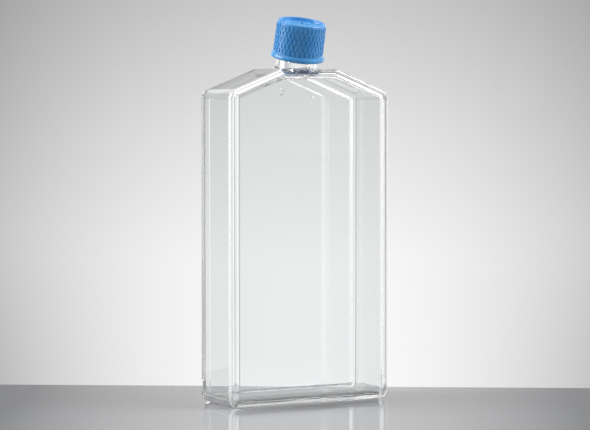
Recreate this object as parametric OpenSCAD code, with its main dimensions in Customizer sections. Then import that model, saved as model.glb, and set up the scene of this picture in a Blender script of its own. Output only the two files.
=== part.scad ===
// Tall rectangular cell culture flask with a canted neck and a vented screw cap.
// It stands on its base end: +Z is up, X runs across the width, and the wide
// front face looks along -Y. The origin is the centre of the base face.

/* [Body] */
// Width across the side walls
body_w = 115.5; // [100:0.5:135]
// Depth from the front face to the back of the growth plate
body_d = 42.5; // [38:0.5:50]
// Height of the side walls, from the base to the start of the shoulders
side_h = 200.5; // [150:0.5:240]
// Rise of the sloping shoulders above the side walls
shoulder_rise = 14.8; // [10:0.2:24]
// Width of the level top between the shoulders, which carries the neck
top_w = 40; // [35.5:0.5:44]
// Wall thickness of the moulded shell
wall = 2; // [1.4:0.1:2.6]
// Radius of the outer corners, seen from the front
corner_r = 6; // [5:0.2:9]
// Outer rounding along the edges of the front face
edge_r = 2.2; // [0.8:0.1:2.6]
// Fillet inside the shell, between the front wall and the walls around it
inner_r = 4.6; // [4:0.2:7]
// Diameter of the shallow moulding marks, one on the front face and one on the plate
mark_d = 4.4; // [3:0.2:6]
// Depth of the moulding marks
mark_depth = 0.4; // [0.2:0.1:0.6]
// Drop from the level top to the mark on the front face
front_mark_drop = 20; // [14:0.5:40]
// Drop from the level top to the mark on the plate
plate_mark_drop = 14.5; // [12:0.5:40]

/* [Growth plate] */
// Thickness of the flat plate that closes the back
plate_t = 2.2; // [1.6:0.1:3]
// Width of the raised border that lines the plate up inside the shell, at its crest
border_w = 2.6; // [1.6:0.2:4]
// Height of that border, whose inner side slopes at 45 degrees
border_h = 1.6; // [0.6:0.1:2]
// Clearance between the border and the shell's walls
border_gap = 0.2; // [0.1:0.05:0.4]
// Height of the weld line between the shell's rim and the plate
weld_gap = 0.03; // [0.02:0.01:0.1]

/* [Neck] */
// Lean of the neck towards the front face, in degrees
neck_cant = 15; // [8:1:18]
// Distance of the neck's axis in front of mid-depth, at the level top
neck_offset = 0; // [-1:0.5:2]
// Outer diameter of the threaded neck
neck_d = 25.8; // [24:0.2:26.6]
// Bore of the neck
neck_bore = 22; // [18:0.2:22.8]
// How far the plain root of the neck, below the cap, stands out of the threaded neck
root_step = 0.9; // [0.6:0.1:1.3]
// How far the root spreads where it meets the level top
root_spread = 1.2; // [0.6:0.1:1.6]

/* [Thread] */
// Rise of the thread in one turn
thread_pitch = 4.2; // [3.6:0.1:4.8]
// Turns of thread on the neck and in the cap
thread_turns = 1; // [0.75:0.05:1.25]
// Height of the thread's ridge
thread_h = 1; // [0.8:0.05:1.1]
// Width of the ridge at its foot
thread_foot = 1.9; // [1.6:0.1:2]
// Width of the ridge at its crest
thread_crest = 0.8; // [0.5:0.1:1]
// Distance from the neck's lip to the middle of the thread's upper end
thread_drop = 3.6; // [3:0.1:5]
// Radial clearance between the neck and the cap
thread_gap = 0.3; // [0.25:0.05:0.4]

/* [Cap] */
// Height of the cap
cap_h = 24; // [22:0.2:28]
// Wall around the bore at the top rim
top_wall = 1.3; // [1.1:0.1:2.3]
// Wall around the bore above the foot
skirt_wall = 1.6; // [1.4:0.1:2.8]
// Wall around the bore at the plain flared foot
foot_wall = 3.3; // [3:0.1:3.8]
// Height of the flared foot
cap_foot_h = 3.4; // [2.6:0.1:4.5]
// Smallest gap between the cap's foot and the level top of the body
cap_clear = 2.6; // [1:0.1:4]
// Thickness of the cap's top panel
panel_t = 1.4; // [1:0.1:2]
// Depth of the recess above the panel
recess_h = 1.9; // [1.2:0.1:2.4]
// Width of the raised rim around the recess
rim_w = 2; // [1.4:0.1:2.4]
// Gap between the neck's lip and the sealing ring of the closed cap
seal_gap = 0.05; // [0.02:0.01:0.1]
// Height of the sealing ring under the panel
seal_h = 0.8; // [0.6:0.1:1.2]

/* [Grip] */
// Short ribs in one ring around the skirt
rib_count = 36; // [24:1:40]
// Staggered rings of ribs
rib_rows = 5; // [3:1:6]
// How far a rib stands out of the skirt
rib_h = 0.45; // [0.2:0.05:0.6]
// Width of a rib at its foot
rib_w = 1.5; // [0.8:0.1:1.8]
// Gap between one ring of ribs and the next
rib_gap = 0.5; // [0.3:0.1:1]

/* [Vent] */
// Vent slots through the cap's panel
vent_count = 6; // [4:1:8]
// How far the membrane reaches past the outer ends of the slots
vent_cover = 1.7; // [0.8:0.1:2.5]
// Width of a slot
vent_w = 1.2; // [0.8:0.1:1.6]
// Distance from the cap's axis to the inner end of a slot
vent_start = 2.8; // [2.4:0.1:3.2]
// Thickness of the vent membrane
membrane_t = 0.4; // [0.3:0.1:0.6]
// Gap between the membrane and the sealing ring around it
membrane_edge = 1.8; // [1:0.1:2.4]
// Clearance between the membrane and the panel above it
membrane_gap = 0.05; // [0.02:0.01:0.1]

/* [Hidden] */

// Steps in an outline corner and in a front edge, and facets of a full turn
corner_steps = 8;
fillet_steps = 12;
round_fn = 96;
mark_fn = 32;

// How far cuts and joined pieces run past each other
overlap = 0.5;
sunk = 0.3;

top_z = side_h + shoulder_rise;
slope = atan(shoulder_rise / (body_w / 2 - top_w / 2));
plate_y = body_d / 2 - plate_t;

// Distances of the inside's and the border's corner centres from the outer walls
inner_c = wall + inner_r + 0.4;
border_s = wall + border_gap;
border_c = max(inner_c, border_s + border_w + border_h + 0.4);

// Radii round the neck's axis
root_r = neck_d / 2 + root_step;
cap_bore_r = neck_d / 2 + thread_h + thread_gap;
cap_top_r = cap_bore_r + top_wall;
cap_skirt_r = cap_bore_r + skirt_wall;
cap_foot_r = cap_bore_r + foot_wall;
seal_edge = 0.3;
seal_in_r = neck_bore / 2 + seal_edge;
seal_out_r = neck_d / 2 - seal_edge;
membrane_r = seal_in_r - membrane_edge;
vent_len = membrane_r - vent_cover - vent_start;

// Heights along the neck's axis, counted from the level top
cap_z = cap_foot_r * tan(neck_cant) + cap_clear / cos(neck_cant);
panel_low = cap_z + cap_h - recess_h - panel_t;
lip_z = panel_low - seal_h - seal_gap;
root_gap = 0.9;
root_top = cap_z - root_gap;
root_low = -(root_r + root_spread) * tan(neck_cant) - 0.1;
spread_h = 1.5;
thread_top = lip_z - thread_drop;
thread_low = thread_top - thread_turns * thread_pitch;

// Skirt radius at a height above the cap's foot edge
rim_round = 0.9;
skirt_top_h = cap_h - rim_round;
function skirt_r(h) =
    cap_skirt_r + (cap_top_r - cap_skirt_r) * (h - cap_foot_h) / (skirt_top_h - cap_foot_h);

// Points of an arc round a centre
function arc(centre, r, from, to) =
    [for (i = [0:corner_steps])
        let (a = from + (to - from) * i / corner_steps)
        centre + r * [cos(a), sin(a)]];

// Right-hand corner centres of the outline, a distance c inside its straight sides
function low_centre(c) = [body_w / 2 - c, c];
function side_centre(c) = [body_w / 2 - c, side_h - c * (1 - sin(slope)) / cos(slope)];
function top_centre(c) = [top_w / 2 - c * (1 - cos(slope)) / sin(slope), top_z - c];
function mirrored(p) = [-p.x, p.y];

// The body's front view, moved in by s, with its corners struck from centres c inside
function outline(c, s) = concat(
    arc(low_centre(c), c - s, -90, 0),
    arc(side_centre(c), c - s, 0, 90 - slope),
    arc(top_centre(c), c - s, 90 - slope, 90),
    arc(mirrored(top_centre(c)), c - s, 90, 90 + slope),
    arc(mirrored(side_centre(c)), c - s, 90 + slope, 180),
    arc(mirrored(low_centre(c)), c - s, 180, 270));

// A block with that outline, from y_back to y_front, its front edges rounded by r
module rounded_block(c, s, r, y_front, y_back) {
    lofted_block(c, concat([[s, y_back]],
        [for (i = [0:fillet_steps])
            let (a = 90 * i / fillet_steps)
            [s + r * (1 - cos(a)), y_front + r * (1 - sin(a))]]));
}

// A block through outlines moved in by rings[i].x at y = rings[i].y, from back to front
module lofted_block(c, rings) {
    n = len(outline(c, rings[0].x));
    points = [for (ring = rings, p = outline(c, ring[0])) [p.x, ring[1], p.y]];
    walls = [for (j = [0:len(rings) - 2], i = [0:n - 1])
        let (k = (i + 1) % n)
        [j * n + i, (j + 1) * n + i, (j + 1) * n + k, j * n + k]];
    back = [for (i = [0:n - 1]) i];
    front = [for (i = [n - 1:-1:0]) (len(rings) - 1) * n + i];
    polyhedron(points, concat(walls, [back, front]));
}

// A flat piece with that outline, t thick, with its front side at y
module flat_piece(y, t) {
    translate([0, y + t, 0])
        rotate([90, 0, 0])
            linear_extrude(t) children();
}

// A shallow round mark with sloping sides in the face at y, a distance drop below the level top.
// side = 1 cuts the front face, -1 the plate
module moulding_mark(y, side, drop) {
    translate([0, y + side * mark_depth, top_z - drop])
        rotate([side * 90, 0, 0])
            cylinder(h = mark_depth + overlap, d1 = mark_d - 2 * mark_depth, d2 = mark_d + 2 * overlap,
                     $fn = mark_fn);
}

// Places its children on the neck's axis, with their zero at the level top
module on_neck() {
    translate([0, -neck_offset, top_z])
        rotate([neck_cant, 0, 0]) children();
}

// A right-hand helical ridge on a wall of radius r. side = 1 stands outwards, -1 inwards
module thread_ridge(r, side, low, turns) {
    steps = ceil(turns * 40);
    fade = 5;
    lowest = 0.12;
    foot = thread_foot / 2;
    crest = thread_crest / 2;
    flank = (foot - crest) / thread_h;
    function rise(i) = thread_h * max(lowest, min(1, i / fade, (steps - i) / fade));
    function section(i) = [[r - side * sunk, -foot - flank * sunk], [r + side * rise(i), -foot + flank * rise(i)],
                           [r + side * rise(i), foot - flank * rise(i)], [r - side * sunk, foot + flank * sunk]];
    n = 4;
    points = [for (i = [0:steps])
        let (a = 360 * turns * i / steps, z = low + thread_pitch * turns * i / steps)
        for (p = section(i)) [p.x * cos(a), p.x * sin(a), z + p.y]];
    skin = [for (i = [0:steps - 1], j = [0:n - 1])
        let (k = (j + 1) % n)
        [i * n + j, i * n + k, (i + 1) * n + k, (i + 1) * n + j]];
    ends = [[for (j = [n - 1:-1:0]) j], [for (j = [0:n - 1]) steps * n + j]];
    faces = concat(skin, ends);
    polyhedron(points, side > 0 ? faces : [for (f = faces) [for (i = [len(f) - 1:-1:0]) f[i]]]);
}

module neck_outside() {
    translate([0, 0, root_low]) cylinder(h = lip_z - root_low, d = neck_d, $fn = round_fn);
    translate([0, 0, root_low]) cylinder(h = root_top - root_low, r = root_r, $fn = round_fn);
    translate([0, 0, root_low])
        cylinder(h = spread_h - root_low, r1 = root_r + root_spread, r2 = root_r, $fn = round_fn);
    thread_ridge(neck_d / 2, 1, thread_low, thread_turns);
}

module flask_shell() {
    color([0.90, 0.93, 0.94, 0.35]) difference() {
        union() {
            rounded_block(corner_r, 0, edge_r, -body_d / 2, plate_y - weld_gap);
            on_neck() neck_outside();
        }
        rounded_block(inner_c, wall, inner_r, -body_d / 2 + wall, plate_y + overlap);
        on_neck() translate([0, 0, root_low - wall - overlap])
            cylinder(h = lip_z - root_low + wall + 2 * overlap, d = neck_bore, $fn = round_fn);
        moulding_mark(-body_d / 2, 1, front_mark_drop);
    }
}

module growth_plate() {
    color([0.92, 0.94, 0.95, 0.35]) {
        difference() {
            flat_piece(plate_y, plate_t) polygon(outline(corner_r, 0));
            moulding_mark(body_d / 2, -1, plate_mark_drop);
        }
        difference() {
            flat_piece(plate_y - border_h, border_h + sunk) polygon(outline(border_c, border_s));
            lofted_block(border_c, [
                [border_s + border_w + border_h + sunk, plate_y + sunk],
                [border_s + border_w - sunk, plate_y - border_h - sunk]]);
        }
    }
}

// One ring of grip ribs: a toothed disc around the cap's axis, turned by a
module rib_ring(h, length, a) {
    r = skirt_r(h + length / 2);
    pitch = 360 / rib_count;
    function tooth(i) = [[-rib_w / 2, -sunk], [-rib_w / 6, rib_h], [rib_w / 6, rib_h], [rib_w / 2, -sunk]];
    translate([0, 0, h]) rotate([0, 0, a]) linear_extrude(length)
        polygon([for (i = [0:rib_count - 1], p = tooth(i))
            let (t = i * pitch)
            [(r + p.y) * cos(t) - p.x * sin(t), (r + p.y) * sin(t) + p.x * cos(t)]]);
}

module grip() {
    plain = 0.6;
    low = cap_foot_h + plain;
    row_h = (skirt_top_h - plain - low) / rib_rows;
    for (row = [0:rib_rows - 1])
        rib_ring(low + row * row_h, row_h - rib_gap, row % 2 * 180 / rib_count);
}

module cap() {
    rim_in = cap_top_r - rim_w;
    edge = 0.4;
    lead_in = 0.8;
    rim_steps = 4;
    panel_bottom = panel_low - cap_z;
    section = concat(
        [[0, 0], [cap_foot_r - edge, 0], [cap_foot_r, edge], [cap_foot_r, cap_foot_h * 0.4],
         [cap_foot_r - edge, cap_foot_h * 0.7], [skirt_r(cap_foot_h), cap_foot_h]],
        [for (i = [0:rim_steps])
            let (a = 90 * i / rim_steps)
            [skirt_r(skirt_top_h) - rim_round * (1 - cos(a)), skirt_top_h + rim_round * sin(a)]],
        [[rim_in + edge, cap_h], [rim_in, cap_h - edge], [rim_in - edge, cap_h - recess_h],
         [0, cap_h - recess_h]]);
    color([0.25, 0.52, 0.80]) on_neck() translate([0, 0, cap_z]) {
        difference() {
            union() {
                rotate_extrude($fn = round_fn) polygon(section);
                grip();
            }
            translate([0, 0, -overlap]) cylinder(h = panel_bottom + overlap, r = cap_bore_r, $fn = round_fn);
            translate([0, 0, -overlap])
                cylinder(h = lead_in + overlap, r1 = cap_bore_r + lead_in, r2 = cap_bore_r, $fn = round_fn);
            for (i = [0:vent_count - 1])
                rotate([0, 0, i * 360 / vent_count])
                    translate([vent_start, -vent_w / 2, panel_bottom - overlap])
                        cube([vent_len, vent_w, panel_t + 2 * overlap]);
        }
        translate([0, 0, panel_bottom - seal_h]) difference() {
            cylinder(h = seal_h + sunk, r = seal_out_r, $fn = round_fn);
            translate([0, 0, -overlap])
                cylinder(h = seal_h + sunk + 2 * overlap, r = seal_in_r, $fn = round_fn);
        }
        thread_ridge(cap_bore_r, -1, thread_low - cap_z - thread_pitch / 2, thread_turns);
    }
}

module vent_membrane() {
    color([0.95, 0.95, 0.93]) on_neck()
        translate([0, 0, panel_low - membrane_gap - membrane_t])
            cylinder(h = membrane_t, r = membrane_r, $fn = round_fn);
}

flask_shell();
growth_plate();
cap();
vent_membrane();
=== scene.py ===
import math

import bpy
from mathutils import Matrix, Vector

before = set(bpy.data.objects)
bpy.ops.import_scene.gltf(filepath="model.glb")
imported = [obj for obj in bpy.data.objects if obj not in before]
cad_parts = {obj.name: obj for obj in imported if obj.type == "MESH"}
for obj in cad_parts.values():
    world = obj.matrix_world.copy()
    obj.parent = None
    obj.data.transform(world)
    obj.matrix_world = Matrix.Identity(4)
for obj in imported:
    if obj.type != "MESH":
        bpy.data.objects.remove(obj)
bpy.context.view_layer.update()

# The camera: its turn round the flask, its distance, its shift to the right, its height, how far
# down it looks, its lens and sensor, and how near and far it sees.
CAMERA_AZIMUTH = math.radians(-29.2)
CAMERA_DISTANCE = 1.426
CAMERA_SIDE = -0.0005
CAMERA_HEIGHT = 0.1855
CAMERA_DIP = math.radians(2.6)
CAMERA_LENS = 134.2
CAMERA_SENSOR = 36.0
CAMERA_CLIP = (0.05, 50.0)

# The backdrop behind the flask. A rise is the sine of the angle above eye level; each pair here
# is a rise and the linear grey at it.
SWEEP = (
    (-0.14, 1.0), (-0.066, 0.955), (-0.011, 0.80), (0.05, 0.60),
    (0.13, 0.63), (0.18, 0.60), (0.30, 0.68), (0.50, 0.45),
)
# How it darkens to the sides: its middle, how fast it falls at two rises, how fast it falls with
# the turn away from the flask, and the least that is left.
SWEEP_CENTRE = 0.005
SWEEP_FALL = ((-0.05, 18.2), (-0.12, 24.5))
SWEEP_TURN = 2.0
SWEEP_LEAST = 0.5
# Lower down it is even all round, from one rise to the other.
SWEEP_BELOW = ((-0.11, 0.0), (-0.25, 0.85))
# The studio round the picture: the linear grey at each turn in degrees from straight behind the
# flask, positive to the right.
AROUND = (
    (-180, 0.5), (-111, 0.5), (-107, 3.4), (-80, 3.4), (-68, 0.6), (-60, 0.35), (-46, 0.35),
    (-42, 1.1), (-39, 1.1), (-37, 0.92), (-21, 0.92), (-19, 1.1), (-10, 1.1), (-8.6, 0.0),
    (8.6, 0.0), (10, 1.0), (30, 1.0), (72, 1.05), (78, 0.45), (91, 0.45), (95, 2.3), (105, 2.3),
    (110, 0.5), (180, 0.5),
)
# How the studio dims overhead and how it fades out below: a rise and the share at it.
AROUND_RISE = ((0.35, 1.0), (0.8, 0.5))
AROUND_FALL = ((-0.15, 1.0), (-0.24, 0.0))

# Softboxes overhead: name, turn in degrees from straight behind the flask, positive to the left,
# distance, height, width, tallness, glow. They face a point at the aim height over the origin.
SOFTBOXES = (
    ("left_high", 95.0, 1.5, 1.1, 1.2, 0.6, 5.8),
    ("right_high", -95.0, 1.5, 1.1, 1.2, 0.6, 8.0),
    ("top_panel", 0.0, 0.2, 1.3, 1.2, 0.8, 1.2),
)
AIM_HEIGHT = 0.12

# The table: its turn from the camera's, how far it reaches behind the flask, to each side and in
# front, its thickness, and the hair's breadth that keeps its top clear of the flask's base.
TABLE_TURN = math.radians(-2.8)
TABLE_BEHIND = 0.0735
TABLE_SIDE = 8.0
TABLE_FRONT = 9.0
TABLE_THICK = 0.03
TABLE_DROP = 0.00005
# Its grey at the middle, where a pool of light is painted into the colour, the grey that is
# reached at the spread to either side, and its gloss.
TABLE_PAINTED_POOL = (0.41, 0.415, 0.425)
TABLE_DARK = (0.10, 0.105, 0.115)
TABLE_POOL_SPREAD = 0.18
TABLE_ROUGHNESS = 0.06

# Clear polystyrene: its tint, its roughness from clear to faintly hazy, the size of the haze's
# cloudiness, and the slow waviness of the moulding.
CLEAR_TINT = (0.985, 0.992, 0.995)
CLEAR_IOR = 1.57
CLEAR_ROUGHNESS = (0.0, 0.03)
CLEAR_HAZE = {"Scale": 60.0, "Detail": 4.0}
CLEAR_WAVE = {"Scale": 14.0, "Detail": 1.0}
CLEAR_WAVE_BUMP = {"Strength": 0.1, "Distance": 0.0004}

# The cap's plastic: its two blues, its roughness, the size of the cloudiness that varies both,
# how it scatters light inside, and its fine moulding grain.
CAP_DEEP = (0.055, 0.29, 0.66)
CAP_PALE = (0.11, 0.41, 0.80)
CAP_IOR = 1.49
CAP_ROUGHNESS = (0.16, 0.28)
CAP_CLOUD = {"Scale": 90.0, "Detail": 3.0}
CAP_SCATTER = 0.4
CAP_SCATTER_REACH = 0.0018
CAP_SCATTER_COLOURS = (0.6, 1.0, 1.6)
CAP_GRAIN = {"Scale": 1400.0, "Detail": 2.0}
CAP_GRAIN_BUMP = {"Strength": 0.12, "Distance": 0.00006}

# The filter felt: its white, its roughness and its fibres.
FELT_WHITE = (0.86, 0.86, 0.84)
FELT_ROUGHNESS = 0.9
FELT_FIBRE = {"Scale": 2500.0, "Detail": 3.0}
FELT_FIBRE_BUMP = {"Strength": 0.5, "Distance": 0.0001}

# Light path length: the clear walls guide light through many reflections.
PATH_BOUNCES = 48


def towards_camera(azimuth):
    return Vector((math.sin(azimuth), -math.cos(azimuth), 0.0))


def to_the_right(azimuth):
    return Vector((math.cos(azimuth), math.sin(azimuth), 0.0))


def opaque(colour):
    return (*colour, 1.0)


def new_material(name):
    """A material with its node tree, its shader and the object's own coordinates."""
    material = bpy.data.materials.new(name)
    material.use_nodes = True
    tree = material.node_tree
    shader = next(n for n in tree.nodes if n.type == "BSDF_PRINCIPLED")
    place = tree.nodes.new("ShaderNodeTexCoord").outputs["Object"]
    return material, tree, shader, place


def add_node(tree, kind, inputs):
    node = tree.nodes.new(kind)
    for name, value in inputs.items():
        node.inputs[name].default_value = value
    return node


def add_maths(tree, kind, a, b):
    """A maths node on two values, each of them a number or another node's output."""
    node = tree.nodes.new("ShaderNodeMath")
    node.operation = kind
    for socket, value in zip(node.inputs, (a, b)):
        if isinstance(value, (int, float)):
            socket.default_value = value
        else:
            tree.links.new(value, socket)
    return node.outputs["Value"]


def add_noise(tree, place, size):
    node = add_node(tree, "ShaderNodeTexNoise", size)
    tree.links.new(place, node.inputs["Vector"])
    return node.outputs["Fac"]


def add_bump(tree, shader, height, depth):
    bump = add_node(tree, "ShaderNodeBump", depth)
    tree.links.new(height, bump.inputs["Height"])
    tree.links.new(bump.outputs["Normal"], shader.inputs["Normal"])


def add_range(tree, value, starts, ends):
    """Maps a value from one range to another, held at the ends."""
    node = add_node(tree, "ShaderNodeMapRange", {
        "From Min": starts[0], "From Max": starts[1], "To Min": ends[0], "To Max": ends[1]})
    tree.links.new(value, node.inputs["Value"])
    return node.outputs["Result"]


def mix_colour(tree, shader, share, first, second):
    tone = tree.nodes.new("ShaderNodeMix")
    tone.data_type = "RGBA"
    tone.inputs["A"].default_value = opaque(first)
    tone.inputs["B"].default_value = opaque(second)
    tree.links.new(share, tone.inputs["Factor"])
    tree.links.new(tone.outputs["Result"], shader.inputs["Base Color"])


def vary_roughness(tree, shader, value, ends):
    tree.links.new(add_range(tree, value, (0.0, 1.0), ends), shader.inputs["Roughness"])


def clear_plastic():
    """Clear moulded polystyrene: nearly flawless, with a faint waviness and hardly any haze."""
    material, tree, shader, place = new_material("clear_polystyrene")
    shader.inputs["Base Color"].default_value = opaque(CLEAR_TINT)
    shader.inputs["Transmission Weight"].default_value = 1.0
    shader.inputs["IOR"].default_value = CLEAR_IOR
    vary_roughness(tree, shader, add_noise(tree, place, CLEAR_HAZE), CLEAR_ROUGHNESS)
    add_bump(tree, shader, add_noise(tree, place, CLEAR_WAVE), CLEAR_WAVE_BUMP)
    return material


def cap_plastic():
    """Blue polyolefin: lets a little light through and has a soft gloss."""
    material, tree, shader, place = new_material("blue_cap_plastic")
    shader.inputs["Subsurface Weight"].default_value = CAP_SCATTER
    shader.inputs["Subsurface Radius"].default_value = CAP_SCATTER_COLOURS
    shader.inputs["Subsurface Scale"].default_value = CAP_SCATTER_REACH
    shader.inputs["IOR"].default_value = CAP_IOR
    cloud = add_noise(tree, place, CAP_CLOUD)
    mix_colour(tree, shader, cloud, CAP_DEEP, CAP_PALE)
    vary_roughness(tree, shader, cloud, CAP_ROUGHNESS)
    add_bump(tree, shader, add_noise(tree, place, CAP_GRAIN), CAP_GRAIN_BUMP)
    return material


def membrane_material():
    """White filter felt under the cap's slots."""
    material, tree, shader, place = new_material("filter_felt")
    shader.inputs["Base Color"].default_value = opaque(FELT_WHITE)
    shader.inputs["Roughness"].default_value = FELT_ROUGHNESS
    add_bump(tree, shader, add_noise(tree, place, FELT_FIBRE), FELT_FIBRE_BUMP)
    return material


def dress(node, material):
    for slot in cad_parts[node].material_slots:
        slot.material = material


def table():
    """A glossy grey table with a painted pool of light down its middle, whose far edge lies
    close behind the flask.
    """
    material, tree, shader, place = new_material("table_top")
    split = tree.nodes.new("ShaderNodeSeparateXYZ")
    tree.links.new(place, split.inputs["Vector"])
    # Painted light: the grey is paler near the middle and darker to the sides, a pool of
    # lamplight painted into the table's colour.
    square = add_maths(tree, "MULTIPLY", split.outputs["X"], split.outputs["X"])
    share = add_range(tree, square, (0.0, TABLE_POOL_SPREAD ** 2), (0.0, 1.0))
    mix_colour(tree, shader, share, TABLE_PAINTED_POOL, TABLE_DARK)
    shader.inputs["Roughness"].default_value = TABLE_ROUGHNESS
    outline = (
        (-TABLE_SIDE, -TABLE_FRONT), (TABLE_SIDE, -TABLE_FRONT),
        (TABLE_SIDE, TABLE_BEHIND), (-TABLE_SIDE, TABLE_BEHIND),
    )
    corners = [(x, y, z) for z in (-TABLE_THICK, -TABLE_DROP) for x, y in outline]
    faces = [(3, 2, 1, 0), (4, 5, 6, 7), (0, 1, 5, 4), (1, 2, 6, 5), (2, 3, 7, 6), (3, 0, 4, 7)]
    mesh = bpy.data.meshes.new("table")
    mesh.from_pydata(corners, [], faces)
    mesh.materials.append(material)
    slab = bpy.data.objects.new("table", mesh)
    slab.rotation_euler.z = CAMERA_AZIMUTH + TABLE_TURN
    bpy.context.scene.collection.objects.link(slab)


def backdrop():
    """The world: a grey sweep behind the flask, brightest low down, and a studio round it."""
    world = bpy.data.worlds.new("studio")
    bpy.context.scene.world = world
    world.use_nodes = True
    tree = world.node_tree
    tree.nodes.clear()
    links = tree.links
    out = tree.nodes.new("ShaderNodeOutputWorld")
    shade = add_node(tree, "ShaderNodeBackground", {"Color": opaque((1.0, 1.0, 1.0))})
    direction = tree.nodes.new("ShaderNodeTexCoord").outputs["Generated"]

    def along(axis):
        node = tree.nodes.new("ShaderNodeVectorMath")
        node.operation = "DOT_PRODUCT"
        node.inputs[1].default_value = axis
        links.new(direction, node.inputs[0])
        return node.outputs["Value"]

    def maths(kind, a, b):
        return add_maths(tree, kind, a, b)

    def graded(value, ends):
        (start, at_start), (end, at_end) = ends
        return add_range(tree, value, (start, end), (at_start, at_end))

    def ramp(value, stops):
        """The grey at a value, along the stops."""
        lowest, highest = stops[0][0], stops[-1][0]
        node = tree.nodes.new("ShaderNodeValToRGB")
        elements = node.color_ramp.elements
        while len(elements) < len(stops):
            elements.new(0.5)
        for element, (place_on_it, grey) in zip(elements, stops):
            element.position = (place_on_it - lowest) / (highest - lowest)
            element.color = opaque((grey, grey, grey))
        links.new(graded(value, ((lowest, 0.0), (highest, 1.0))), node.inputs["Fac"])
        return node.outputs["Color"]

    rise = along((0.0, 0.0, 1.0))
    across = along(to_the_right(CAMERA_AZIMUTH))
    ahead = along(-towards_camera(CAMERA_AZIMUTH))
    side = maths("SUBTRACT", across, SWEEP_CENTRE)
    fall = maths("MULTIPLY", maths("MULTIPLY", side, side), graded(rise, SWEEP_FALL))
    turn = maths("MULTIPLY", maths("SUBTRACT", 1.0, ahead), SWEEP_TURN)
    wide = maths("SUBTRACT", maths("SUBTRACT", 1.0, fall), turn)
    behind = maths("MULTIPLY", ramp(rise, SWEEP), maths("MAXIMUM", wide, SWEEP_LEAST))
    heading = maths("MULTIPLY", maths("ARCTAN2", across, ahead), math.degrees(1.0))
    around = maths("MULTIPLY", ramp(heading, AROUND), graded(rise, AROUND_RISE))
    around = maths("MULTIPLY", around, graded(rise, AROUND_FALL))
    glow = maths("MAXIMUM", maths("MAXIMUM", behind, around), graded(rise, SWEEP_BELOW))
    links.new(glow, shade.inputs["Strength"])
    links.new(shade.outputs["Background"], out.inputs["Surface"])


def softbox(name, turn, distance, height, width, tall, glow):
    """A lamp panel of even glow, turned round the flask from straight behind it."""
    lamp = bpy.data.lights.new(name, "AREA")
    lamp.shape = "RECTANGLE"
    lamp.size, lamp.size_y = width, tall
    lamp.energy = glow * math.pi * width * tall
    rig = bpy.data.objects.new(name, lamp)
    behind = -towards_camera(CAMERA_AZIMUTH + math.radians(turn))
    rig.location = behind * distance + Vector((0, 0, height))
    sight = Vector((0, 0, AIM_HEIGHT)) - rig.location
    rig.rotation_euler = sight.to_track_quat("-Z", "Y").to_euler()
    rig.visible_camera = False
    bpy.context.scene.collection.objects.link(rig)


def camera():
    lens = bpy.data.cameras.new("photo_view")
    lens.lens = CAMERA_LENS
    lens.sensor_width = CAMERA_SENSOR
    lens.clip_start, lens.clip_end = CAMERA_CLIP
    rig = bpy.data.objects.new("photo_view", lens)
    rig.location = (towards_camera(CAMERA_AZIMUTH) * CAMERA_DISTANCE
                    + to_the_right(CAMERA_AZIMUTH) * CAMERA_SIDE
                    + Vector((0, 0, CAMERA_HEIGHT)))
    rig.rotation_euler = (math.radians(90) - CAMERA_DIP, 0.0, CAMERA_AZIMUTH)
    bpy.context.scene.collection.objects.link(rig)
    bpy.context.scene.camera = rig


clear = clear_plastic()
dress("flask_shell", clear)
dress("growth_plate", clear)
dress("cap", cap_plastic())
dress("vent_membrane", membrane_material())
table()
backdrop()
for panel in SOFTBOXES:
    softbox(*panel)
camera()
bpy.context.scene.view_settings.view_transform = "Standard"
cycles = bpy.context.scene.cycles
cycles.max_bounces = PATH_BOUNCES
cycles.transmission_bounces = PATH_BOUNCES
cycles.glossy_bounces = PATH_BOUNCES
